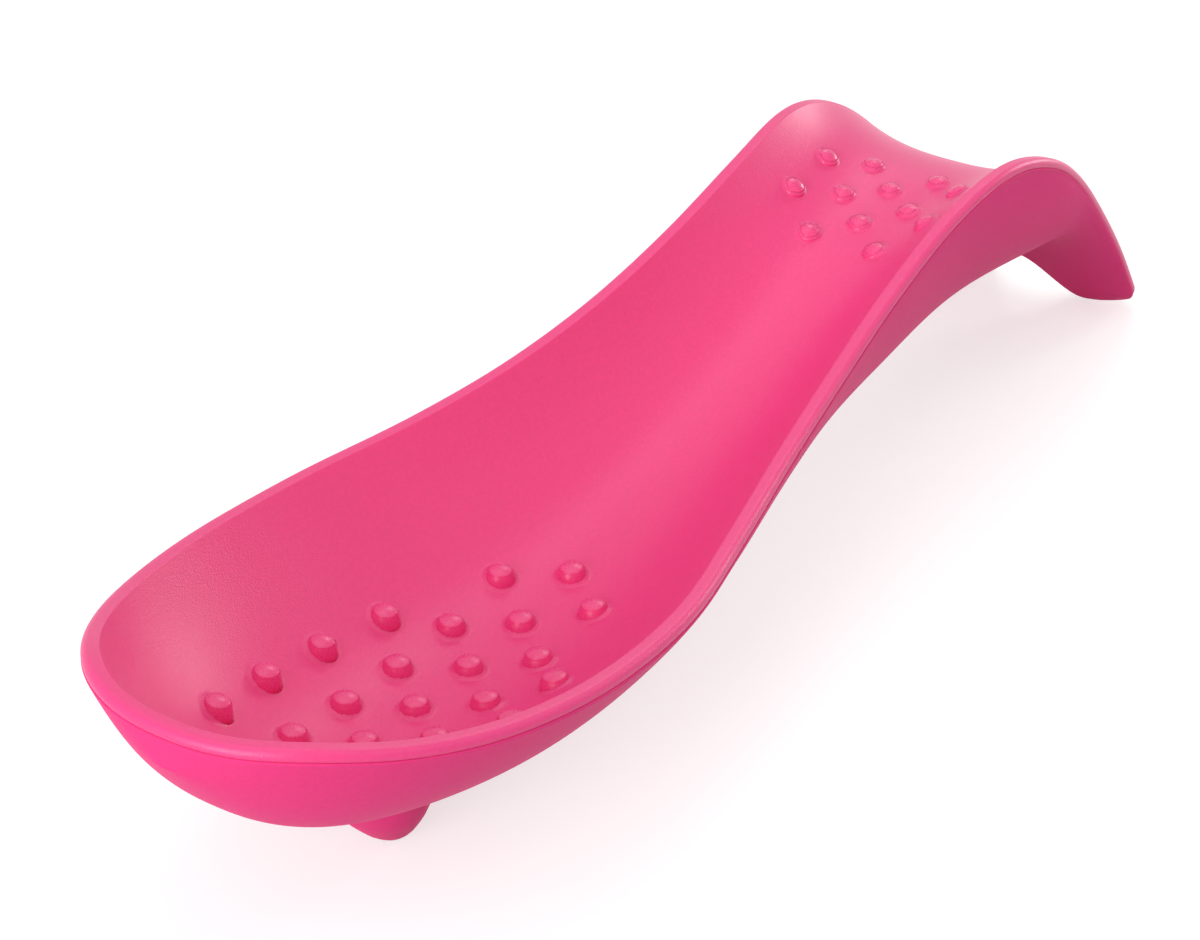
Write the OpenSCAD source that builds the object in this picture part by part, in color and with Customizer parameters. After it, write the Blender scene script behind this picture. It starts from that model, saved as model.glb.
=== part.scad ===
// Spoon rest: a long spoon-shaped tray with a thick arched neck, a saddle for the
// spoon's handle and a tail that stands on the table. All lengths in millimetres.
// X runs from the bowl's nose to the tail, Y across, Z up from the table.

/* [Outline] */
// Length from the nose of the bowl to the back of the tail
rest_length = 250; // [210:1:300]
// Width of the bowl over its rim
bowl_width = 70.2; // [60:0.2:84]
// Width of the neck over its rim
neck_width = 42.1; // [36:0.2:52]
// Width of the tail over its rim
tail_width = 45.8; // [38:0.2:54]
// Length of the rounded nose, up to the widest place of the bowl
nose_length = 60; // [50:1:70]

/* [Heights] */
// Height of the rim beside the middle of the bowl
rim_height = 34.4; // [30:0.2:42]
// How far the rim at the nose stands above the rim beside the bowl
nose_rise = 9.5; // [4:0.1:12]
// Height of the rim on top of the saddle
saddle_height = 51.5; // [46:0.2:60]
// Height of the inner corner of the arch
arch_height = 21.5; // [17:0.1:25]

/* [Trough] */
// Depth of the bowl's floor below its rim
bowl_depth = 18; // [14:0.1:20]
// Depth of the trough in the middle of the neck
neck_depth = 11.5; // [8:0.1:14]
// Depth of the saddle below its rim
saddle_depth = 8.2; // [5:0.1:10]

/* [Lip] */
// Width of the rolled lip, from the outer edge to the wall of the trough
lip_width = 2.5; // [2:0.1:3.4]
// Height of the lip's ridge above the parting line
lip_rise = 1.9; // [1.2:0.1:2.6]
// How far the lip stands out over the lower moulding
lip_reveal = 0.35; // [0.2:0.05:0.6]

/* [Walls] */
// Wall of the upper moulding
top_wall = 1.4; // [1.2:0.1:2]
// Wall of the inner mats that carry the nubs
mat_wall = 0.8; // [0.8:0.1:1.2]
// Wall of the lower moulding
under_wall = 2; // [1.6:0.1:2.4]
// Gap between one layer and the next
layer_gap = 0.1; // [0.05:0.01:0.2]

/* [Nubs] */
// Distance between the nub rows along the rest
nub_pitch = 12.55; // [11.5:0.05:13.5]
// Distance between the nub columns across the bowl
nub_column = 7.8; // [7:0.05:8.4]
// Place of the first bowl row from the nose
nub_start = 26.7; // [25:0.1:30]
// Distance between the nub columns across the saddle
saddle_column = 6.2; // [5.6:0.05:6.6]
// Place of the first saddle row from the nose
saddle_start = 168.3; // [165:0.1:170]
// Diameter of a bowl nub at its top
nub_diameter = 3.5; // [2.6:0.1:4]
// Diameter of a bowl nub where it leaves the mat
nub_root = 4.6; // [4:0.1:5.2]
// Diameter of a saddle nub at its top
saddle_nub_diameter = 2.8; // [2.2:0.1:3.2]
// Diameter of a saddle nub where it leaves the mat
saddle_nub_root = 3.6; // [3.2:0.1:4]
// How far a bowl nub stands above the floor
nub_height = 2.3; // [1.2:0.1:2.6]
// How far a saddle nub stands above the floor
saddle_nub_height = 1.1; // [0.8:0.1:1.6]
// Width of the ring gap round each nub
ring_gap = 0.35; // [0.2:0.05:0.4]

/* [Foot] */
// Place of the foot's middle from the nose
foot_place = 44.5; // [38:0.5:48]
// Diameter of the foot where it leaves the bowl
foot_root = 16; // [13:0.1:19]
// How far the root of the foot leans towards the nose
foot_rake = 3.2; // [0:0.1:4]
// Diameter of the peg that holds the foot in the lower moulding
foot_peg = 5; // [4:0.1:6]

/* [Tail] */
// Width of the arched cut between the two tail feet
cut_width = 18.5; // [14:0.1:22]
// Height of the arched cut between the two tail feet
cut_height = 9.5; // [6:0.1:11]

/* [Hidden] */
NOSE_STEPS = 9;
BODY_STEPS = 26;
LIP_STEPS = 5;
TROUGH_STEPS = 20;
ROUND_STEPS = 12;
overrun = 1;
nose_fullness_share = 2.3;
front_steps_share = 0.62;

// The layers under the bowl's floor hang from the rim, and the keel is the lowest of them
mat_below = layer_gap + mat_wall;
keel_height = rim_height - bowl_depth - top_wall - mat_below - layer_gap - under_wall;

// Places of the table values, as shares of the length behind the nose
path_shares = [0, 0.02, 0.06, 0.12, 0.2, 0.28, 0.36, 0.44, 0.52, 0.6, 0.68, 0.75, 0.81, 0.86, 0.91, 0.955, 1];
rim_places = [for (p = path_shares) p * rest_length];
// Rise of the rim at the nose, rise to the saddle, and how much is left on the tail
nose_rise_shares = [0.97, 0.98, 0.72, 0.4, 0.137, 0, 0, 0, 0, 0, 0, 0, 0, 0, 0, 0, 0];
saddle_rise_shares = [0, 0, 0, 0, 0, 0.003, 0.022, 0.126, 0.3175, 0.5965, 0.883, 1, 1, 1, 1, 1, 1];
tail_left_shares = [1, 1, 1, 1, 1, 1, 1, 1, 1, 1, 1, 1, 0.916, 0.755, 0.528, 0.292, 0.0175];
// Width: how much of the bowl's extra width and of the tail's extra width is there
bowl_shares = [1, 1, 1, 1, 1, 0.929, 0.637, 0.352, 0.149, 0.025, 0, 0, 0, 0, 0, 0, 0];
tail_shares = [0, 0, 0, 0, 0, 0, 0, 0, 0, 0, 0.02, 0.6, 1, 0.7, 0.3, 0.03, -0.3];
// Depth of the trough: shares of the bowl's, the neck's and the saddle's depth
bowl_depth_shares = [0, 0.34, 0.69, 0.91, 1.01, 1, 0.75, 0.35, 0.1, 0, 0, 0, 0, 0, 0, 0, 0];
neck_depth_shares = [0, 0, 0, 0, 0, 0, 0.3, 0.75, 0.97, 0.95, 0.5, 0.1, 0, 0, 0, 0, 0];
saddle_depth_shares = [0, 0, 0, 0, 0, 0, 0, 0, 0, 0.05, 0.5, 0.82, 0.47, 0.14, 0.05, 0.04, 0.04];
// Fullness of the trough and of the body below it, as powers
trough_power_shares = [2.4, 2.4, 2.4, 2.4, 2.4, 2.4, 2.4, 2.4, 2.4, 2.4, 2.5, 2.6, 2.6, 2.6, 2.6, 2.6, 2.6];
body_power_shares = [2.4, 2.45, 2.55, 2.6, 2.55, 2.5, 2.8, 2.8, 2.7, 2.75, 2.85, 3.6, 3.6, 3.3, 3, 2.8, 2.6];
body_square_shares = [1, 1, 1, 1, 1, 1, 0.92, 0.92, 0.97, 0.88, 0.8, 0.43, 0.45, 0.5, 0.6, 0.75, 0.9];
// The line under the body: how far it runs ahead of the rim, and its height as
// shares of the nose's, the keel's and the arch's height
lead_shares = [0, 0.006, 0.006, 0.006, 0.004, 0.002, 0.008, 0.02, 0.037, 0.054, 0.09, 0.126, 0.09, 0.055, 0.027, 0.0064, -0.011];
nose_under_shares = [0.9, 0.68, 0.5, 0.235, 0.03, 0, 0, 0, 0, 0, 0, 0, 0, 0, 0, 0, 0];
keel_under_shares = [0, 0, 0, 0.56, 1, 1, 0.8, 0.35, 0.1, 0, 0, 0, 0, 0, 0, 0, 0];
arch_under_shares = [0, 0, 0, 0, 0, 0, 0.195, 0.595, 0.84, 0.95, 1.03, 1.02, 1, 0.95, 0.76, 0.42, -0.03];
// How much of the room below the mat is left to the core
core_shares = [0, 0, 0, 0, 0, 0, 0, 0.5, 0.9, 1, 1, 1, 1, 1, 1, 0.6, 0];
// How much of the upper wall, and of the mat's room, is left towards the tail's edge
wall_left_shares = [1, 1, 1, 1, 1, 1, 1, 1, 1, 1, 1, 1, 1, 1, 1, 0.75, 0.5];
room_left_shares = [1, 1, 1, 1, 1, 1, 1, 1, 1, 1, 1, 1, 1, 0.9, 0.6, 0.2, 0];
corner_share = 0.75;
// Rings of the foot: shares of its root radius, of the keel's height and of its rake
foot_shares = [[0.22, 0, 0], [0.42, 0.05, 0.02], [0.58, 0.17, 0.1], [0.74, 0.4, 0.3], [0.88, 0.75, 0.6], [1, 1.2, 0.95], [1.12, 1.7, 1.3]];
foot_reach_share = 0.75;
foot_near_share = 0.5;
cut_start_share = 0.875;
lip_land_share = 0.7;
lip_edge_share = 0.93;
mat_reach_share = 0.9;
nub_bevel_share = 0.7;
// Nub rows: each row's place in pitches, then its nubs' places in columns
bowl_row_shares = [[0, [-2, 0, 2]], [0.5, [-1, 1]], [1, [-2.18, 0, 2.18]], [1.5, [-1, 1]], [2, [-2.12, 0, 2.12]],
    [2.5, [-1, 1]], [3, [-1.93, 0, 1.93]], [3.5, [-1, 1]], [4, [0]], [4.5, [-1.08, 1.08]], [5, [0]]];
saddle_row_shares = [[0, [-1, 1]], [0.5, [-2, 0, 2]], [1, [-1, 1]], [1.5, [-2, 0, 2]], [2, [-1, 1]]];
over_share = 0.65;
bowl_mat_span_shares = [0.05, 0.405];
neck_mat_span_shares = [0.43, 0.9];
core_span_shares = [0.455, 0.93];
// Outline of the lip: shares of its width and of its rise, from the edge inwards
lip_run_shares = [0, 0.08, 0.26, 0.46, 0.68, 0.85];
lip_rise_shares = [0.06, 0.4, 0.74, 0.93, 1, 1];

function hermite(a, b, ta, tb, f) = a * (1 - 3 * f * f + 2 * f * f * f) + b * (3 * f * f - 2 * f * f * f)
    + ta * (f - 2 * f * f + f * f * f) + tb * (f * f * f - f * f);
function span_at(x, i = 0) = (i >= len(rim_places) - 2 || x < rim_places[i + 1]) ? i : span_at(x, i + 1);
function rise_at(values, i) = i <= 0 ? (values[1] - values[0]) / (rim_places[1] - rim_places[0])
    : i >= len(values) - 1 ? (values[i] - values[i - 1]) / (rim_places[i] - rim_places[i - 1])
    : (values[i + 1] - values[i - 1]) / (rim_places[i + 1] - rim_places[i - 1]);
function read_table(values, x) = let (i = span_at(x), run = rim_places[i + 1] - rim_places[i],
    f = min(1, max(0, (x - rim_places[i]) / run)))
    hermite(values[i], values[i + 1], rise_at(values, i) * run, rise_at(values, i + 1) * run, f);

// Turn of the nose outline: [place, half width as a share, inward x, inward y]
function nose_turn(k) = let (c = cos(90 * k / NOSE_STEPS), s = sin(90 * k / NOSE_STEPS),
    n = nose_fullness_share,
    gx = pow(c, 2 - 2 / n) / nose_length, gy = pow(s, 2 - 2 / n) * 2 / bowl_width,
    size = sqrt(gx * gx + gy * gy))
    [nose_length * (1 - pow(c, 2 / n)), pow(s, 2 / n), gx / size, gy / size];
corner_place = corner_share * rest_length;
FRONT_STEPS = round(BODY_STEPS * front_steps_share);
BACK_STEPS = BODY_STEPS - FRONT_STEPS;
stations = concat([for (k = [0 : NOSE_STEPS]) nose_turn(k)],
    [for (k = [1 : FRONT_STEPS]) [nose_length + (corner_place - nose_length) * k / FRONT_STEPS, 1, 0, 1]],
    [for (k = [1 : BACK_STEPS]) [corner_place + (rest_length - corner_place) * k / BACK_STEPS, 1, 0, 1]]);

function rim_z(x) = (rim_height + nose_rise * read_table(nose_rise_shares, x)
    + (saddle_height - rim_height) * read_table(saddle_rise_shares, x)) * read_table(tail_left_shares, x);
function half_width(st) = (neck_width + (bowl_width - neck_width) * read_table(bowl_shares, st[0])
    + (tail_width - neck_width) * read_table(tail_shares, st[0])) / 2 * st[1];
function trough_depth(x) = bowl_depth * read_table(bowl_depth_shares, x)
    + neck_depth * read_table(neck_depth_shares, x) + saddle_depth * read_table(saddle_depth_shares, x);
function under_z(x) = (rim_height + nose_rise) * read_table(nose_under_shares, x)
    + keel_height * read_table(keel_under_shares, x) + arch_height * read_table(arch_under_shares, x);
function slope_at(x) = x < nose_length ? 0
    : atan2(rim_z(min(rest_length, x + top_wall)) - rim_z(x - top_wall),
        min(rest_length, x + top_wall) - x + top_wall);
function up_at(x) = [-sin(slope_at(x)), 0, cos(slope_at(x))];
// The front foot's centre on the table is the origin
function rim_at(st) = [st[0] - foot_place, 0, rim_z(st[0])];
// A point at a share s across the section, a run inside the rim and b above the parting line
function across(st, s, inset, b) = rim_at(st) + [inset * st[2], s * (half_width(st) - inset * st[3]), 0]
    + up_at(st[0]) * b;
function fall(s, power) = 1 - pow(abs(s), power);
function top_point(st, s) = across(st, s, lip_width, lip_rise * lip_edge_share
    - (lip_rise * lip_edge_share + trough_depth(st[0])) * fall(s, read_table(trough_power_shares, st[0])));
// The lower face of the upper moulding, and the layers that follow it
function layer_point(st, s, below) = across(st, s, lip_width * lip_land_share, -below
    - (trough_depth(st[0]) + top_wall * read_table(wall_left_shares, st[0]))
    * fall(s, read_table(trough_power_shares, st[0])));
function body_drop(st) = [rest_length * read_table(lead_shares, st[0]), 0, under_z(st[0]) - rim_z(st[0])];
function body_point(st, s, inset) = let (drop = body_drop(st), deep = norm(drop),
    g = pow(fall(s, read_table(body_power_shares, st[0])), read_table(body_square_shares, st[0])))
    across(st, s, lip_reveal + inset, -layer_gap) + drop * g * max(0, 1 - inset / max(inset, deep));
function room_below(x) = 2 * layer_gap + mat_below * read_table(room_left_shares, x);
function inner_point(st, s, gap) = let (c = read_table(core_shares, st[0]))
    layer_point(st, s, room_below(st[0]) - gap) * (1 - c) + (body_point(st, s, under_wall + gap)) * c
    - up_at(st[0]) * (room_below(st[0]) - gap) * c * pow(abs(s), 2);

function lip_row(st) = [for (k = [0 : LIP_STEPS])
    across(st, 1, lip_width * lip_run_shares[k], lip_rise * lip_rise_shares[k])];
function mirrored(row) = [for (k = [len(row) - 1 : -1 : 0]) [row[k][0], -row[k][1], row[k][2]]];
function spread(steps) = [for (k = [0 : steps]) sin(90 * (1 - 2 * k / steps))];
function spread_to(reach) = [for (s = spread(TROUGH_STEPS)) if (abs(s) <= reach) s];

// A closed shell between an upper and a lower net of points. With a folded nose the
// first row lies in the middle plane, so its two halves share their points.
function net_faces(rows, wide, folded) = let (
    half = wide - 1,
    at = function (i, k, low) (low ? rows * wide : 0) + i * wide + ((folded && i == 0) ? min(k, half - k) : k),
    upper = [for (i = [0 : rows - 2], k = [0 : wide - 2]) each
        [[at(i, k, false), at(i + 1, k, false), at(i + 1, k + 1, false)],
         [at(i, k, false), at(i + 1, k + 1, false), at(i, k + 1, false)]]],
    lower = [for (i = [0 : rows - 2], k = [0 : wide - 2]) each
        [[at(i, k, true), at(i + 1, k + 1, true), at(i + 1, k, true)],
         [at(i, k, true), at(i, k + 1, true), at(i + 1, k + 1, true)]]],
    sides = [for (i = [0 : rows - 2]) each
        [[at(i, 0, false), at(i, 0, true), at(i + 1, 0, true)],
         [at(i, 0, false), at(i + 1, 0, true), at(i + 1, 0, false)],
         [at(i, half, false), at(i + 1, half, true), at(i, half, true)],
         [at(i, half, false), at(i + 1, half, false), at(i + 1, half, true)]]],
    first = folded ? [] : [for (k = [0 : wide - 2]) each
        [[at(0, k, false), at(0, k + 1, false), at(0, k + 1, true)],
         [at(0, k, false), at(0, k + 1, true), at(0, k, true)]]],
    last = [for (k = [0 : wide - 2]) each
        [[at(rows - 1, k, false), at(rows - 1, k + 1, true), at(rows - 1, k + 1, false)],
         [at(rows - 1, k, false), at(rows - 1, k, true), at(rows - 1, k + 1, true)]]])
    [for (f = concat(upper, lower, sides, first, last)) if (f[0] != f[1] && f[1] != f[2] && f[0] != f[2]) f];
module shell_between(upper, lower, folded) {
    polyhedron(points = [for (row = concat(upper, lower)) each row],
        faces = net_faces(len(upper), len(upper[0]), folded));
}
function between(span) = [for (st = stations) if (st[0] >= span[0] * rest_length && st[0] <= span[1] * rest_length) st];

// Everything below the table is cut away, and so is the arch between the tail feet
module table_cut() {
    translate([-foot_place - lip_width, -bowl_width, -2 * rim_height])
        cube([rest_length + 2 * lip_width, 2 * bowl_width, 2 * rim_height]);
    translate([cut_start_share * rest_length - foot_place, 0, 0]) scale([1, cut_width / 2, cut_height])
        rotate([0, 90, 0]) cylinder(h = rest_length, r = 1, $fn = ROUND_STEPS);
}

// Nub places: [x, y] with the rows staggered along the rest
bowl_nubs = [for (r = bowl_row_shares, c = r[1]) [nub_start + r[0] * nub_pitch, c * nub_column]];
saddle_nubs = [for (r = saddle_row_shares, c = r[1]) [saddle_start + r[0] * nub_pitch, c * saddle_column]];
function place_on_mat(p) = let (st = [p[0], 1, 0, 1],
    s = p[1] / (half_width(st) - lip_width * lip_land_share)) layer_point(st, s, layer_gap);

module ring_holes(places, wide, deep) {
    for (p = places) let (foot = place_on_mat(p))
        translate([foot[0], foot[1], foot[2] - 2 * overrun]) hull() {
            cylinder(h = overrun, d = wide, $fn = ROUND_STEPS);
            translate([0, 0, 2 * overrun + deep]) cylinder(h = 2 * overrun, d = wide + ring_gap, $fn = ROUND_STEPS);
        }
}
module pegs(places, root_wide, wide, tall) {
    for (p = places) let (foot = place_on_mat(p), root = 2 * mat_wall, top = root + top_wall + tall)
        translate([foot[0], foot[1], foot[2] - root]) hull() {
            cylinder(h = root, d = root_wide, $fn = ROUND_STEPS);
            translate([0, 0, top - ring_gap]) cylinder(h = ring_gap / 2, d = wide, $fn = ROUND_STEPS);
            translate([0, 0, top - ring_gap / 2]) cylinder(h = ring_gap / 2, d = wide * nub_bevel_share, $fn = ROUND_STEPS);
        }
}

module top_skin() {
    color("hotpink") difference() {
        shell_between(
            [for (st = stations) concat(lip_row(st), [for (s = spread(TROUGH_STEPS)) top_point(st, s)], mirrored(lip_row(st)))],
            [for (st = stations) let (land = [for (k = [0 : LIP_STEPS]) across(st, 1, lip_width * lip_land_share * k / (LIP_STEPS + 1), 0)])
                concat(land, [for (s = spread(TROUGH_STEPS)) layer_point(st, s, 0)], mirrored(land))], true);
        ring_holes(bowl_nubs, nub_root + 2 * ring_gap, top_wall + nub_height);
        ring_holes(saddle_nubs, saddle_nub_root + 2 * ring_gap, top_wall + saddle_nub_height);
        table_cut();
    }
}
module under_skin() {
    color("deeppink") difference() {
        shell_between(
            [for (st = stations) [for (s = spread(TROUGH_STEPS)) inner_point(st, s, 0)]],
            [for (st = stations) [for (s = spread(TROUGH_STEPS)) body_point(st, s, 0)]], true);
        cylinder(h = rim_height, d = foot_peg + 2 * layer_gap, $fn = 2 * ROUND_STEPS);
        table_cut();
    }
}
module mat(span) {
    rows = between(span);
    shell_between(
        [for (st = rows) [for (s = spread_to(mat_reach_share)) layer_point(st, s, layer_gap)]],
        [for (st = rows) [for (s = spread_to(mat_reach_share)) layer_point(st, s, mat_below)]], false);
}
module over_mat(span) {
    rows = between(span);
    shell_between(
        [for (st = rows) [for (s = spread_to(mat_reach_share)) layer_point(st, s, -bowl_depth)]],
        [for (st = rows) [for (s = spread_to(mat_reach_share)) layer_point(st, s, layer_gap + mat_wall * over_share)]], false);
}
module bowl_mat() {
    color("violet") union() {
        mat(bowl_mat_span_shares);
        intersection() {
            over_mat(bowl_mat_span_shares);
            pegs(bowl_nubs, nub_root, nub_diameter, nub_height);
        }
    }
}
module neck_mat() {
    color("plum") union() {
        mat(neck_mat_span_shares);
        intersection() {
            over_mat(neck_mat_span_shares);
            pegs(saddle_nubs, saddle_nub_root, saddle_nub_diameter, saddle_nub_height);
        }
    }
}
module spine_core() {
    rows = between(core_span_shares);
    color("lightgrey") shell_between(
        [for (st = rows) [for (s = spread_to(mat_reach_share)) layer_point(st, s, mat_below + layer_gap)]],
        [for (st = rows) [for (s = spread_to(mat_reach_share)) inner_point(st, s, layer_gap)]], false);
}
// A stack of rings, closed at both ends
module ring_stack(rings, steps) {
    rows = len(rings);
    polyhedron(points = [for (r = rings, k = [0 : steps - 1])
            [r[2] + r[0] * cos(360 * k / steps), r[0] * sin(360 * k / steps), r[1]]],
        faces = concat([[for (k = [0 : steps - 1]) k]],
            [for (i = [0 : rows - 2], k = [0 : steps - 1]) let (n = (k + 1) % steps) each
                [[i * steps + k, (i + 1) * steps + k, (i + 1) * steps + n],
                 [i * steps + k, (i + 1) * steps + n, i * steps + n]]],
            [[for (k = [steps - 1 : -1 : 0]) (rows - 1) * steps + k]]));
}
module front_foot() {
    near = foot_near_share * foot_place / rest_length;
    rows = between([near, 2 * foot_place / rest_length - near]);
    peg_top = place_on_mat([foot_place + foot_peg / 2, 0])[2] - mat_wall - 2 * layer_gap;
    color("mediumvioletred") union() {
        difference() {
            ring_stack([for (f = foot_shares) [foot_root / 2 * f[0], keel_height * f[1], -foot_rake * f[2]]],
                3 * ROUND_STEPS);
            shell_between(
                [for (st = rows) [for (s = spread_to(foot_reach_share)) layer_point(st, s, -bowl_depth)]],
                [for (st = rows) [for (s = spread_to(foot_reach_share)) body_point(st, s, 0) - [0, 0, layer_gap]]], false);
        }
        translate([0, 0, keel_height / 2]) cylinder(h = peg_top - keel_height / 2, d = foot_peg, $fn = ROUND_STEPS * 3);
    }
}

top_skin();
under_skin();
bowl_mat();
neck_mat();
spine_core();
front_foot();
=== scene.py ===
import math
import bmesh
import bpy
import numpy as np
from mathutils import Matrix, Vector


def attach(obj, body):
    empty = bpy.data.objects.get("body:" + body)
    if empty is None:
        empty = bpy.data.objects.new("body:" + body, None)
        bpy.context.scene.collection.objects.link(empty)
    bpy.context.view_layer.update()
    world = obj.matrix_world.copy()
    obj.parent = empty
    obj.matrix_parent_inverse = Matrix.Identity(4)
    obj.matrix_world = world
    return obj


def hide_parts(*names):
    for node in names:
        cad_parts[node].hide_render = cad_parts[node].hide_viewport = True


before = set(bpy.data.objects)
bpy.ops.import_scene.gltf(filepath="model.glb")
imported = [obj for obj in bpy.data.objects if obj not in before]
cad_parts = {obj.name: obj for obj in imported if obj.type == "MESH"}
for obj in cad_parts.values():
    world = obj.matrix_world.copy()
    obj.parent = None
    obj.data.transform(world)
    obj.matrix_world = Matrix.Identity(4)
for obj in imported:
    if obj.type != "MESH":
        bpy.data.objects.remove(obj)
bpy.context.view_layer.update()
MM = 0.001

# ---------------------------------------------------------------- sizes, mm
REST_LENGTH, FOOT_PLACE = 250.0, 44.5
BOWL_WIDTH, NECK_WIDTH, TAIL_WIDTH = 70.2, 42.1, 45.8
NOSE_LENGTH, NOSE_FULLNESS = 60.0, 2.3
RIM_HEIGHT, NOSE_RISE, SADDLE_HEIGHT = 34.4, 9.5, 51.5
KEEL_HEIGHT, ARCH_HEIGHT = 12.0, 21.5
BOWL_DEPTH, NECK_DEPTH, SADDLE_DEPTH = 18.0, 11.5, 8.2
# The lip, with shares of its rise where the trough starts and of its width where the underside does
LIP_WIDTH, LIP_RISE, LIP_EDGE, LIP_LAND = 2.5, 1.9, 0.93, 0.7
TOP_WALL = 1.4
NUB_PITCH, NUB_COLUMN, NUB_START = 12.55, 7.8, 26.7
SADDLE_COLUMN, SADDLE_START = 6.2, 168.3
# Nubs: radius at the root and at the top, height, rise of the dome, rounding of the edge
NUB_ROOT, NUB_TOP, NUB_HEIGHT, NUB_DOME, NUB_EDGE = 2.4, 1.85, 2.05, 0.25, 0.45
SADDLE_NUB_ROOT, SADDLE_NUB_TOP, SADDLE_NUB_HEIGHT, SADDLE_NUB_DOME, SADDLE_NUB_EDGE = 2.05, 1.6, 1.1, 0.3, 0.35
NUB_LEAN, SADDLE_NUB_LEAN = 0.3, 0.8
# How deep a nub goes into the floor and how much wider it is there, and a ring part of the way up
NUB_SINK, NUB_SPREAD, WAIST_HEIGHT, WAIST_SHARE = 1.2, 1.1, 0.6, 0.35
NUB_STEPS, NUB_EDGE_TURNS, NUB_DOME_RINGS = 40, np.radians(np.linspace(10, 75, 7)), (0.8, 0.6, 0.4, 0.2, 0.02)
# Fillets round the nubs: how far they start inside the root, and their height and reach
FILLET_START, FILLET, SADDLE_FILLET = 0.05, (0.45, 0.75), (0.3, 0.4)
# Rounded corners of the tail, which stop just short of a full quarter circle
CORNER, CORNER_TURN = 2.4, 0.96
FOOT_ROOT, FOOT_RAKE, FOOT_STEPS = 16.0, 3.2, 96
# The cut between the tail's feet: the CAD's width and height, the bell's flare, its ends along X
CUT_WIDTH, CUT_HEIGHT, CUT_FLARE, CUT_ENDS, CUT_STEPS = 18.5, 9.5, 1.25, (175, 230), 48
# The lip tilts with the rim's slope: it begins this far inside the nose and is full after this run
TILT_LEAD, TILT_RUN = 20, 30
# The lower skin: where its outer side starts below the seam, and its lid inside the upper skin
SEAM_INSET, SEAM_DROP = 0.04, -0.15
LID_INSET, LID_DROP, LID_REACH = 1.9, -0.3, 0.98

# Places along the rest, and tables of shares of the sizes at those places
PATH = np.array([0, 0.02, 0.06, 0.12, 0.2, 0.28, 0.36, 0.44, 0.52,
                 0.6, 0.68, 0.75, 0.81, 0.86, 0.91, 0.955, 1]) * REST_LENGTH
TABLES = {
    "nose_rise": [0.97, 0.98, 0.72, 0.4, 0.137, 0, 0, 0, 0, 0, 0, 0, 0, 0, 0, 0, 0],
    "saddle_rise": [0, 0, 0, 0, 0, 0.003, 0.022, 0.126, 0.3175, 0.5965, 0.883, 1, 1, 1, 1, 1, 1],
    "tail_left": [1, 1, 1, 1, 1, 1, 1, 1, 1, 1, 1, 1, 0.916, 0.755, 0.528, 0.292, 0.0175],
    "bowl": [1, 1, 1, 1, 1, 0.929, 0.637, 0.352, 0.149, 0.025, 0, 0, 0, 0, 0, 0, 0],
    "tail": [0, 0, 0, 0, 0, 0, 0, 0, 0, 0, 0.02, 0.6, 1, 0.7, 0.3, 0.03, -0.3],
    "bowl_depth": [0, 0.4, 0.82, 1.03, 1.01, 0.985, 0.71, 0.34, 0.1, 0, 0, 0, 0, 0, 0, 0, 0],
    "neck_depth": [0, 0, 0, 0, 0, 0, 0.3, 0.75, 0.97, 0.95, 0.5, 0.1, 0, 0, 0, 0, 0],
    "saddle_depth": [0, 0, 0, 0, 0, 0, 0, 0, 0, 0.05, 0.39, 0.8, 0.47, 0.14, 0.05, 0.04, 0.04],
    "trough_power": [2.4, 2.4, 2.4, 2.4, 2.4, 2.4, 2.4, 2.4, 2.4, 2.4, 2.5, 2.6, 2.6, 2.6, 2.6, 2.6, 2.6],
    "body_power": [2.4, 2.45, 2.55, 2.6, 2.55, 2.5, 2.8, 2.8, 2.7, 2.75, 2.85, 3.6, 3.6, 3.3, 3, 2.8, 2.6],
    "body_square": [1, 1, 1, 1, 1, 1, 0.92, 0.92, 0.97, 0.88, 0.8, 0.43, 0.45, 0.5, 0.6, 0.75, 0.9],
    "lead": [0, 0.006, 0.006, 0.006, 0.004, 0.002, 0.008, 0.02, 0.037,
             0.054, 0.09, 0.126, 0.09, 0.055, 0.027, 0.0064, -0.011],
    "nose_under": [0.9, 0.68, 0.5, 0.235, 0.03, 0, 0, 0, 0, 0, 0, 0, 0, 0, 0, 0, 0],
    "keel_under": [0, 0, 0, 0.56, 1, 1, 0.8, 0.35, 0.1, 0, 0, 0, 0, 0, 0, 0, 0],
    "arch_under": [0, 0, 0, 0, 0, 0, 0.195, 0.595, 0.84, 0.95, 1.03, 1.02, 1, 0.95, 0.76, 0.42, -0.03],
}
# The lip's outline, [inset, height]: an outer bead, a flat shelf and a crisp inner corner
LIP = [(0.3, 0.3), (0.12, 0.4), (0.04, 0.55), (0.0, 0.8), (0.03, 1.05), (0.12, 1.3), (0.27, 1.53), (0.47, 1.71),
       (0.7, 1.83), (0.95, 1.89), (1.25, 1.9), (1.6, 1.88), (1.95, 1.86), (2.2, 1.85), (2.34, 1.84), (2.44, 1.81)]
# The lower skin's edge under the lip, [inset, height], ending in the small bead at the seam
SHOULDER = [(1.7, -0.02), (0.7, 0.15), (0.45, 0.26), (0.3, 0.32), (0.18, 0.33), (0.07, 0.29),
            (-0.01, 0.2), (-0.03, 0.08), (-0.01, -0.03)]
# The foot from the table up: shares of its root radius, of the keel's height and of its rake
FOOT = [(0.02, 0, 0), (0.14, 0.0, 0), (0.2, 0.012, 0), (0.27, 0.035, 0.01), (0.34, 0.075, 0.04),
        (0.42, 0.13, 0.1), (0.52, 0.21, 0.19), (0.63, 0.32, 0.3), (0.75, 0.45, 0.43), (0.87, 0.61, 0.58),
        (0.97, 0.8, 0.72), (1.06, 1.02, 0.88), (1.1, 1.18, 0.97), (1.12, 1.3, 1.05)]
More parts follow.
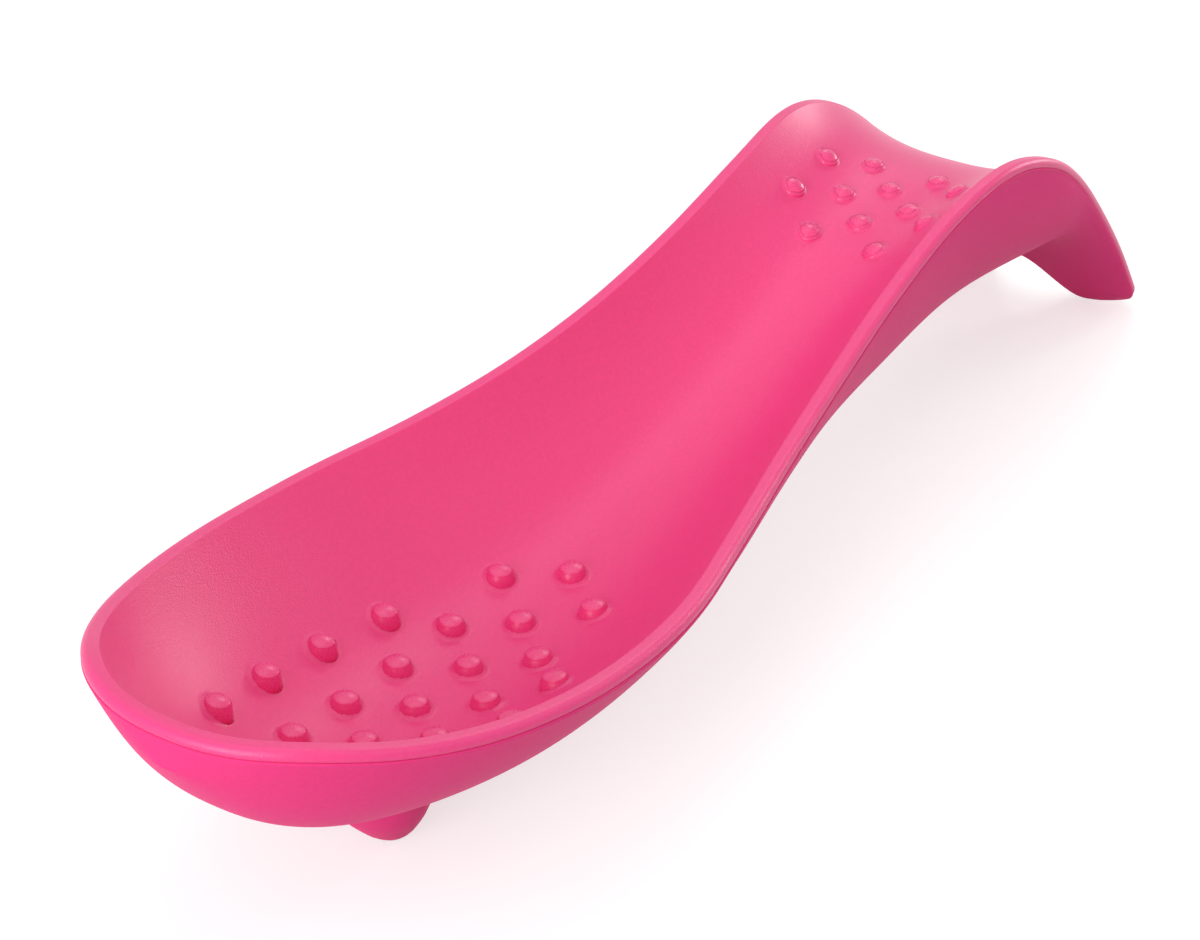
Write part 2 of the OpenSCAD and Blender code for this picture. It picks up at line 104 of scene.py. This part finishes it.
# Nub rows: each row's place in pitches, then its nubs' places in columns
BOWL_ROWS = [(0, (-2, 0, 2)), (0.5, (-1, 1)), (1, (-2.18, 0, 2.18)), (1.5, (-1, 1)), (2, (-2.12, 0, 2.12)),
             (2.5, (-1, 1)), (3, (-1.93, 0, 1.93)), (3.5, (-1, 1)), (4, (0,)), (4.5, (-1.08, 1.08)), (5, (0,))]
SADDLE_ROWS = [(0, (-1, 1)), (0.5, (-2, 0, 2)), (1, (-1, 1)), (1.5, (-2, 0, 2)), (2, (-1, 1))]

# Mesh spacing, mm and counts
SAMPLES_PER_MM, SMOOTHING, SMOOTHING_REACH = 4, 3.0, 3
COARSE_STEP, NUB_STEP, BODY_STEP, NUB_ZONES = 0.8, 0.3, 0.5, [(0, 96), (162, 204)]
TOP_NOSE_ROWS, BODY_NOSE_ROWS, CORNER_ROWS = 150, 110, 14
# Half of the trough's columns: the floor, the wall, and the strip by the lip, where they close up
FLOOR_SHARE, FLOOR_COLUMNS, WALL_SHARE, WALL_COLUMNS, LIP_COLUMNS, LIP_CROWDING = 0.62, 75, 0.93, 40, 16, 1.5
UNDER_COLUMNS, BODY_COLUMNS, BODY_CROWDING, LID_COLUMNS = 41, 60, 0.9, 25
# Rows and mm to each side from which the floor's normal is taken
NORMAL_ROWS, NORMAL_REACH = 2, 0.5
TABLE_CUT_TOLERANCE = 1e-7

SAMPLES = np.linspace(0, REST_LENGTH, int(REST_LENGTH * SAMPLES_PER_MM) + 1)


def hermite_table(values):
    """A smooth curve through a table's values, at every sample."""
    v = np.array(values, float)
    slope = np.empty_like(v)
    slope[1:-1] = (v[2:] - v[:-2]) / (PATH[2:] - PATH[:-2])
    slope[0] = (v[1] - v[0]) / (PATH[1] - PATH[0])
    slope[-1] = (v[-1] - v[-2]) / (PATH[-1] - PATH[-2])
    i = np.clip(np.searchsorted(PATH, SAMPLES, side="right") - 1, 0, len(PATH) - 2)
    run = PATH[i + 1] - PATH[i]
    f = (SAMPLES - PATH[i]) / run
    return (v[i] * (1 - 3 * f**2 + 2 * f**3) + v[i + 1] * (3 * f**2 - 2 * f**3)
            + slope[i] * run * (f - 2 * f**2 + f**3) + slope[i + 1] * run * (f**3 - f**2))


def smoothed(values):
    """A curve without the kinks of its table, with its ends kept."""
    width = SMOOTHING * SAMPLES_PER_MM
    n = int(width * SMOOTHING_REACH)
    k = np.exp(-0.5 * (np.arange(-n, n + 1) / width) ** 2)
    k /= k.sum()
    left = 2 * values[0] - values[n:0:-1]
    right = 2 * values[-1] - values[-2:-n - 2:-1]
    return np.convolve(np.concatenate([left, values, right]), k, mode="valid")


CURVES = {name: smoothed(hermite_table(values)) for name, values in TABLES.items()}


def read(name, x):
    return np.interp(x, SAMPLES, CURVES[name])


def rim_z(x):
    level = RIM_HEIGHT + NOSE_RISE * read("nose_rise", x) + (SADDLE_HEIGHT - RIM_HEIGHT) * read("saddle_rise", x)
    return level * read("tail_left", x)


RIM_SLOPE = np.gradient(rim_z(SAMPLES), SAMPLES)


class Station:
    """Arrays over the rows: place, half width, inward direction at the nose, tilt, depth, line below."""

    def __init__(self, body_places, nose_rows):
        turn = np.linspace(0, math.pi / 2, nose_rows + 1)
        c, s, n = np.cos(turn), np.sin(turn), NOSE_FULLNESS
        c[-1] = 0.0
        s[0] = 0.0
        gx = c ** (2 - 2 / n) / NOSE_LENGTH
        gy = s ** (2 - 2 / n) * 2 / BOWL_WIDTH
        size = np.hypot(gx, gy)
        ones = np.ones(len(body_places))
        self.x = x = np.concatenate([NOSE_LENGTH * (1 - c ** (2 / n)), body_places])
        self.nx = np.concatenate([gx / size, 0 * ones])
        self.ny = np.concatenate([gy / size, ones])
        width = (NECK_WIDTH + (BOWL_WIDTH - NECK_WIDTH) * read("bowl", x)
                 + (TAIL_WIDTH - NECK_WIDTH) * read("tail", x))
        rounding = np.clip((x - (REST_LENGTH - CORNER)) / CORNER, 0, 1)
        self.w = width / 2 * np.concatenate([s ** (2 / n), ones])
        self.w = self.w - CORNER * (1 - np.sqrt(1 - rounding ** 2 * CORNER_TURN))
        self.z = rim_z(x)
        blend = np.clip((x - NOSE_LENGTH + TILT_LEAD) / TILT_RUN, 0, 1)
        tilt = np.arctan(np.interp(x, SAMPLES, RIM_SLOPE)) * blend
        self.ux, self.uz = -np.sin(tilt), np.cos(tilt)
        self.depth = (BOWL_DEPTH * read("bowl_depth", x) + NECK_DEPTH * read("neck_depth", x)
                      + SADDLE_DEPTH * read("saddle_depth", x))
        self.trough = read("trough_power", x)
        self.power = read("body_power", x)
        self.square = read("body_square", x)
        below = ((RIM_HEIGHT + NOSE_RISE) * read("nose_under", x) + KEEL_HEIGHT * read("keel_under", x)
                 + ARCH_HEIGHT * read("arch_under", x))
        self.dx = REST_LENGTH * read("lead", x)
        self.dz = below - self.z

    def across(self, s, inset, b):
        """Rows x columns of points: share s across, inset from the rim, b above the parting line."""
        x = self.x[:, None] - FOOT_PLACE + inset * self.nx[:, None] + b * self.ux[:, None]
        y = s * (self.w[:, None] - inset * self.ny[:, None])
        z = self.z[:, None] + b * self.uz[:, None]
        return np.stack(np.broadcast_arrays(x, y, z), axis=-1)

    def hollow(self, s):
        """How much of the trough's depth is there at the shares s across."""
        return 1 - np.abs(s) ** self.trough[:, None]


def places(coarse, fine_zones):
    """Places behind the nose, closer together in the zones with nubs and at the tail's corner."""
    steps = [NOSE_LENGTH]
    while steps[-1] < REST_LENGTH - CORNER:
        x = steps[-1]
        steps.append(x + (NUB_STEP if any(lo < x < hi for lo, hi in fine_zones) else coarse))
    steps[-1] = REST_LENGTH - CORNER
    corner = CORNER * np.sin(np.linspace(0, math.pi / 2, CORNER_ROWS))[1:]
    return np.concatenate([steps[1:], REST_LENGTH - CORNER + corner])


def make_mesh(name, points, faces, material):
    mesh = bpy.data.meshes.new(name)
    mesh.from_pydata([tuple(p) for p in (np.asarray(points) * MM)], [], faces)
    mesh.validate()
    mesh.update()
    for poly in mesh.polygons:
        poly.use_smooth = True
    mesh.materials.append(material)
    obj = bpy.data.objects.new(name, mesh)
    bpy.context.collection.objects.link(obj)
    return obj


def seat(obj, node):
    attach(obj, "root")
    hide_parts(node)


def tube_faces(rows, cols, start=0):
    """Faces between rows of points that each close on themselves."""
    return [(start + i * cols + k, start + (i + 1) * cols + k,
             start + (i + 1) * cols + (k + 1) % cols, start + i * cols + (k + 1) % cols)
            for i in range(rows - 1) for k in range(cols)]


def solid_faces(rows, cols, start=0):
    """The same faces turned the other way round, with the first and the last row capped."""
    last = start + (rows - 1) * cols
    return ([(a, d, c, b) for a, b, c, d in tube_faces(rows, cols, start)]
            + [tuple(range(start + cols - 1, start - 1, -1)), tuple(range(last, last + cols))])


def skin(name, ring, material, node):
    """A moulding from its cross-sections, from the closed nose to the capped end of the tail."""
    rows, cols = ring.shape[:2]
    faces = tube_faces(rows, cols) + [tuple(range((rows - 1) * cols, rows * cols))]
    obj = make_mesh(name, ring.reshape(-1, 3), faces, material)
    seat(obj, node)
    return obj


# ---------------------------------------------------------------- material
PINK, CORE_GREY = (0.80, 0.047, 0.212), (0.62, 0.58, 0.58)
MOTTLE_SCALE, MOTTLE_DETAIL, MOTTLE_SPREAD = 1400.0, 4.0, 0.07
GRAIN_SCALE, GRAIN_DETAIL, GRAIN_DEPTH, ROUGHNESS_SPREAD = 3800.0, 2.0, 0.00006, 0.05
SOFT_WEIGHT, SOFT_RADIUS = 0.12, (0.003, 0.0006, 0.0012)


def silicone(name, base, rough, spec, grain):
    """Matt moulded silicone: a fine mottle in the colour, a finer grain in gloss and surface."""
    material = bpy.data.materials.new(name)
    material.use_nodes = True
    nt = material.node_tree
    shader = nt.nodes["Principled BSDF"]
    coord = nt.nodes.new("ShaderNodeTexCoord")

    def noise(scale, detail):
        node = nt.nodes.new("ShaderNodeTexNoise")
        node.inputs["Scale"].default_value = scale
        node.inputs["Detail"].default_value = detail
        nt.links.new(coord.outputs["Object"], node.inputs["Vector"])
        return node.outputs["Fac"]

    colour = nt.nodes.new("ShaderNodeMix")
    colour.data_type = "RGBA"
    colour.inputs["A"].default_value = (*[c * (1 - MOTTLE_SPREAD) for c in base], 1)
    colour.inputs["B"].default_value = (*[min(1, c * (1 + MOTTLE_SPREAD)) for c in base], 1)
    nt.links.new(noise(MOTTLE_SCALE, MOTTLE_DETAIL), colour.inputs["Factor"])
    nt.links.new(colour.outputs["Result"], shader.inputs["Base Color"])
    fine = noise(GRAIN_SCALE, GRAIN_DETAIL)
    gloss = nt.nodes.new("ShaderNodeMapRange")
    gloss.inputs["To Min"].default_value = rough - ROUGHNESS_SPREAD
    gloss.inputs["To Max"].default_value = rough + ROUGHNESS_SPREAD
    nt.links.new(fine, gloss.inputs["Value"])
    nt.links.new(gloss.outputs["Result"], shader.inputs["Roughness"])
    bump = nt.nodes.new("ShaderNodeBump")
    bump.inputs["Strength"].default_value = grain
    bump.inputs["Distance"].default_value = GRAIN_DEPTH
    nt.links.new(fine, bump.inputs["Height"])
    nt.links.new(bump.outputs["Normal"], shader.inputs["Normal"])
    shader.inputs["Specular IOR Level"].default_value = spec
    shader.inputs["Subsurface Weight"].default_value = SOFT_WEIGHT
    shader.inputs["Subsurface Radius"].default_value = SOFT_RADIUS
    shader.inputs["Subsurface Scale"].default_value = 1.0
    return material


mat_upper = silicone("silicone_upper", PINK, 0.36, 0.42, 0.9)
mat_lower = silicone("silicone_lower", PINK, 0.5, 0.05, 0.7)
mat_inner = silicone("silicone_inner", PINK, 0.28, 0.45, 0.4)
mat_core = silicone("core_plastic", CORE_GREY, 0.5, 0.4, 0.2)

# ---------------------------------------------------------------- upper skin
top = Station(places(COARSE_STEP, NUB_ZONES), TOP_NOSE_ROWS)
bowl_nubs = [(NUB_START + row * NUB_PITCH, c * NUB_COLUMN) for row, cs in BOWL_ROWS for c in cs]
saddle_nubs = [(SADDLE_START + row * NUB_PITCH, c * SADDLE_COLUMN) for row, cs in SADDLE_ROWS for c in cs]


def trough_surface(st):
    """The trough from one lip to the other."""
    half = np.unique(np.round(np.concatenate([
        np.linspace(0, FLOOR_SHARE, FLOOR_COLUMNS)[:-1],
        np.linspace(FLOOR_SHARE, WALL_SHARE, WALL_COLUMNS)[:-1],
        1 - (1 - np.linspace(0, 1, LIP_COLUMNS)) ** LIP_CROWDING * (1 - WALL_SHARE)]), 6))
    s = np.concatenate([-half[:0:-1], half])[None, :]
    edge = LIP_RISE * LIP_EDGE
    return st.across(s, LIP_WIDTH, edge - (edge + st.depth[:, None]) * st.hollow(s))


floor_net = trough_surface(top)


def on_floor(x, y):
    """The floor's point at a place along the rest and across it, and its normal."""
    i = int(np.argmin(np.abs(top.x - x)))

    def at(row, across):
        p = floor_net[row]
        return Vector([float(np.interp(across, p[:, 1], p[:, k])) for k in range(3)])

    along = at(i + NORMAL_ROWS, y) - at(i - NORMAL_ROWS, y)
    return at(i, y), along.cross(at(i, y + NORMAL_REACH) - at(i, y - NORMAL_REACH)).normalized()


def add_fillets(points, nubs, root, height, reach):
    """Raises the floor in a concave ring round each nub's root."""
    for x, y in nubs:
        r = np.sqrt(((points - np.array(on_floor(x, y)[0])) ** 2).sum(axis=-1))
        t = np.clip((r - root) / reach, 0, 1)
        points[..., 2] += height * (1 - np.sqrt(1 - (1 - t) ** 2))


surface = floor_net.copy()
add_fillets(surface, bowl_nubs, NUB_ROOT - FILLET_START, *FILLET)
add_fillets(surface, saddle_nubs, SADDLE_NUB_ROOT - FILLET_START, *SADDLE_FILLET)
lip = np.stack([top.across(1.0, inset, up)[:, 0] for inset, up in LIP], axis=1)
across_under = np.linspace(1, -1, UNDER_COLUMNS)[None, :]
under = top.across(across_under, LIP_WIDTH * LIP_LAND, -(top.depth[:, None] + TOP_WALL) * top.hollow(across_under))
upper = skin("upper_skin", np.concatenate([lip * np.array([1, -1, 1]), surface, lip[:, ::-1], under], axis=1),
             mat_upper, "top_skin")


# ---------------------------------------------------------------- nubs
def peg_profile(root, radius, height, dome, edge):
    """A cone with a domed top and a rounded edge, as [radius, height above the floor]."""
    profile = [(root * NUB_SPREAD, -NUB_SINK), (root, 0.0),
               (radius + (root - radius) * WAIST_SHARE, WAIST_HEIGHT * height)]
    for turn in NUB_EDGE_TURNS:
        profile.append((radius - edge + edge * math.cos(turn), height - dome - edge + edge * math.sin(turn)))
    r0, h0 = profile[-1]
    for f in NUB_DOME_RINGS:
        profile.append((r0 * f, h0 + (height - h0) * (1 - f * f)))
    return profile


def pegs(name, nubs, profile, lean, node):
    """Nubs on the floor, leaning from upright towards the floor's normal by a share."""
    points, faces, n = [], [], NUB_STEPS
    for x, y in nubs:
        base = len(points)
        place, normal = on_floor(x, y)
        axis = Vector((0, 0, 1)).lerp(normal, lean).normalized()
        side = axis.cross(Vector((0, 1, 0))).normalized()
        other = axis.cross(side)
        for r, h in profile:
            for k in range(n):
                a = 2 * math.pi * k / n
                points.append(place + axis * h + (side * math.cos(a) + other * math.sin(a)) * r)
        faces += solid_faces(len(profile), n, base)
    seat(make_mesh(name, points, faces, mat_inner), node)


pegs("bowl_nubs", bowl_nubs, peg_profile(NUB_ROOT, NUB_TOP, NUB_HEIGHT, NUB_DOME, NUB_EDGE), NUB_LEAN, "bowl_mat")
pegs("saddle_nubs", saddle_nubs,
     peg_profile(SADDLE_NUB_ROOT, SADDLE_NUB_TOP, SADDLE_NUB_HEIGHT, SADDLE_NUB_DOME, SADDLE_NUB_EDGE),
     SADDLE_NUB_LEAN, "neck_mat")

# ---------------------------------------------------------------- lower skin
body = Station(places(BODY_STEP, []), BODY_NOSE_ROWS)
half = np.sin(np.linspace(0, math.pi / 2, BODY_COLUMNS)) ** BODY_CROWDING
s_outer = np.concatenate([half[::-1], -half[1:]])[None, :]
s_lid = np.linspace(-LID_REACH, LID_REACH, LID_COLUMNS)[None, :]
bulge = np.clip(1 - np.abs(s_outer) ** body.power[:, None], 0, 1) ** body.square[:, None]
outer = body.across(s_outer, SEAM_INSET, SEAM_DROP)
outer[..., 0] += body.dx[:, None] * bulge
outer[..., 2] += body.dz[:, None] * bulge
near = np.stack([body.across(1.0, inset, up)[:, 0] for inset, up in SHOULDER], axis=1)
far = near[:, ::-1] * np.array([1, -1, 1])
lid = body.across(s_lid, LID_INSET, LID_DROP - (body.depth[:, None] + TOP_WALL) * body.hollow(s_lid))
lower = skin("lower_skin", np.concatenate([near, outer, far, lid], axis=1), mat_lower, "under_skin")


# ---------------------------------------------------------------- cuts
def cut_at_table(obj):
    """Cuts away what lies under the table."""
    bm = bmesh.new()
    bm.from_mesh(obj.data)
    geom = bm.verts[:] + bm.edges[:] + bm.faces[:]
    cut = bmesh.ops.bisect_plane(bm, geom=geom, dist=TABLE_CUT_TOLERANCE,
                                 plane_co=(0, 0, 0), plane_no=(0, 0, -1), clear_outer=True)
    edges = [e for e in cut["geom_cut"] if isinstance(e, bmesh.types.BMEdge)]
    bmesh.ops.holes_fill(bm, edges=edges, sides=0)
    bm.to_mesh(obj.data)
    bm.free()
    for poly in obj.data.polygons:
        poly.use_smooth = True


cut_at_table(upper)
cut_at_table(lower)

# The arched cut between the tail's two feet: a bell in the YZ plane, run through the tail
cut_half = CUT_WIDTH / 2 * CUT_FLARE
turns = [1 - 2 * k / CUT_STEPS for k in range(CUT_STEPS + 1)]
bell = [(cut_half * t, CUT_HEIGHT / 2 * (1 + math.cos(math.pi * t))) for t in turns]
bell += [(-cut_half, -CUT_HEIGHT), (cut_half, -CUT_HEIGHT)]
cutter = make_mesh("tail_cutter", [(x, y, z) for x in CUT_ENDS for y, z in bell],
                   solid_faces(len(CUT_ENDS), len(bell)), mat_lower)
for obj in (upper, lower):
    mod = obj.modifiers.new("tail_cut", "BOOLEAN")
    mod.operation = "DIFFERENCE"
    mod.object = cutter
    mod.solver = "EXACT"
    bpy.context.view_layer.objects.active = obj
    obj.select_set(True)
    bpy.ops.object.modifier_apply(modifier=mod.name)
    obj.select_set(False)
bpy.data.objects.remove(cutter)

# ---------------------------------------------------------------- foot and core
foot_turns = [2 * math.pi * k / FOOT_STEPS for k in range(FOOT_STEPS)]
foot_points = [(-FOOT_RAKE * rake + FOOT_ROOT / 2 * r * math.cos(a), FOOT_ROOT / 2 * r * math.sin(a), KEEL_HEIGHT * h)
               for r, h, rake in FOOT for a in foot_turns]
seat(make_mesh("foot_stub", foot_points, solid_faces(len(FOOT), FOOT_STEPS), mat_lower), "front_foot")

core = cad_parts["spine_core"]
core.data.materials.clear()
core.data.materials.append(mat_core)

# ---------------------------------------------------------------- floor and room
FLOOR_HALF, FLOOR_DROP = 4, 0.0004
FLOOR_GREY, FLOOR_GLOW, FLOOR_ROUGHNESS = 0.55, 0.6, 0.9
ROOM_STRENGTH, WHITE_STRENGTH = 0.56, 1.0


def seen_rays(nt):
    """1 for the rays that show the background: camera, glossy and transmission rays."""
    path = nt.nodes.new("ShaderNodeLightPath")
    total = path.outputs["Is Camera Ray"]
    for kind in ("Is Glossy Ray", "Is Transmission Ray"):
        either = nt.nodes.new("ShaderNodeMath")
        either.operation = "MAXIMUM"
        nt.links.new(total, either.inputs[0])
        nt.links.new(path.outputs[kind], either.inputs[1])
        total = either.outputs[0]
    return total


floor_mesh = bpy.data.meshes.new("floor")
floor_mesh.from_pydata([(sx * FLOOR_HALF, sy * FLOOR_HALF, -FLOOR_DROP)
                        for sx, sy in ((-1, -1), (1, -1), (1, 1), (-1, 1))], [], [(0, 1, 2, 3)])
floor = bpy.data.objects.new("floor", floor_mesh)
bpy.context.collection.objects.link(floor)
floor_mat = bpy.data.materials.new("floor_white")
floor_mat.use_nodes = True
nt = floor_mat.node_tree
matt = nt.nodes["Principled BSDF"]
matt.inputs["Base Color"].default_value = (FLOOR_GREY, FLOOR_GREY, FLOOR_GREY, 1)
matt.inputs["Roughness"].default_value = FLOOR_ROUGHNESS
matt.inputs["Specular IOR Level"].default_value = 0.0
glow = nt.nodes.new("ShaderNodeEmission")
glow.inputs["Color"].default_value = (FLOOR_GLOW, FLOOR_GLOW, FLOOR_GLOW, 1)
nt.links.new(seen_rays(nt), glow.inputs["Strength"])
both = nt.nodes.new("ShaderNodeAddShader")
nt.links.new(matt.outputs["BSDF"], both.inputs[0])
nt.links.new(glow.outputs["Emission"], both.inputs[1])
nt.links.new(both.outputs["Shader"], nt.nodes["Material Output"].inputs["Surface"])
floor.data.materials.append(floor_mat)

world = bpy.data.worlds.new("studio")
bpy.context.scene.world = world
world.use_nodes = True
nt = world.node_tree
room = nt.nodes["Background"]
white = nt.nodes.new("ShaderNodeBackground")
for background, strength in ((room, ROOM_STRENGTH), (white, WHITE_STRENGTH)):
    background.inputs["Color"].default_value = (1, 1, 1, 1)
    background.inputs["Strength"].default_value = strength
mix = nt.nodes.new("ShaderNodeMixShader")
nt.links.new(seen_rays(nt), mix.inputs["Fac"])
nt.links.new(room.outputs["Background"], mix.inputs[1])
nt.links.new(white.outputs["Background"], mix.inputs[2])
nt.links.new(mix.outputs["Shader"], nt.nodes["World Output"].inputs["Surface"])

# ---------------------------------------------------------------- lamps and camera
LIGHT_DISTANCE = 0.9
MIDDLE = Vector((0.07, 0, 0.02))


def softbox(name, azimuth, elevation, size, watts):
    """An area lamp that looks at the middle of the rest from the given direction, in degrees."""
    az, el = math.radians(azimuth), math.radians(elevation)
    direction = Vector((math.cos(el) * math.cos(az), math.cos(el) * math.sin(az), math.sin(el)))
    data = bpy.data.lights.new(name, "AREA")
    data.shape = "RECTANGLE"
    data.size, data.size_y = size
    data.energy = watts
    obj = bpy.data.objects.new(name, data)
    obj.location = MIDDLE + direction * LIGHT_DISTANCE
    obj.rotation_mode = "QUATERNION"
    obj.rotation_quaternion = direction.to_track_quat("Z", "Y")
    bpy.context.collection.objects.link(obj)


softbox("top_light", 60, 78, (0.6, 0.6), 1.35)
softbox("bowl_light", 180, 12, (0.5, 0.35), 4.4)
softbox("high_bowl_light", 185, 42, (0.5, 0.5), 1.6)
softbox("near_light", 270, 50, (0.5, 0.5), 0.6)
softbox("tail_light", 345, 13, (0.2, 0.2), 1.6)
softbox("back_light", 18, 41, (0.16, 0.16), 0.5)

CAMERA_AZIMUTH, CAMERA_ELEVATION, CAMERA_DISTANCE = math.radians(-56.46), math.radians(31.05), 0.4515
CAMERA_TARGET = Vector((114.3 - FOOT_PLACE, 10.9, 21.3)) * MM
CAMERA_LENS, CAMERA_SENSOR, CAMERA_NEAR, CAMERA_FAR = 86.4, 36.0, 0.01, 20
back = Vector((math.sin(CAMERA_AZIMUTH) * math.cos(CAMERA_ELEVATION),
               -math.cos(CAMERA_AZIMUTH) * math.cos(CAMERA_ELEVATION), math.sin(CAMERA_ELEVATION)))
right = Vector((math.cos(CAMERA_AZIMUTH), math.sin(CAMERA_AZIMUTH), 0))
cam_data = bpy.data.cameras.new("camera")
cam_data.lens, cam_data.sensor_width = CAMERA_LENS, CAMERA_SENSOR
cam_data.clip_start, cam_data.clip_end = CAMERA_NEAR, CAMERA_FAR
cam = bpy.data.objects.new("camera", cam_data)
cam.location = CAMERA_TARGET + back * CAMERA_DISTANCE
cam.rotation_mode = "QUATERNION"
cam.rotation_quaternion = Matrix((right, back.cross(right), back)).transposed().to_quaternion()
bpy.context.collection.objects.link(cam)
bpy.context.scene.camera = cam
bpy.context.scene.view_settings.view_transform = "Standard"
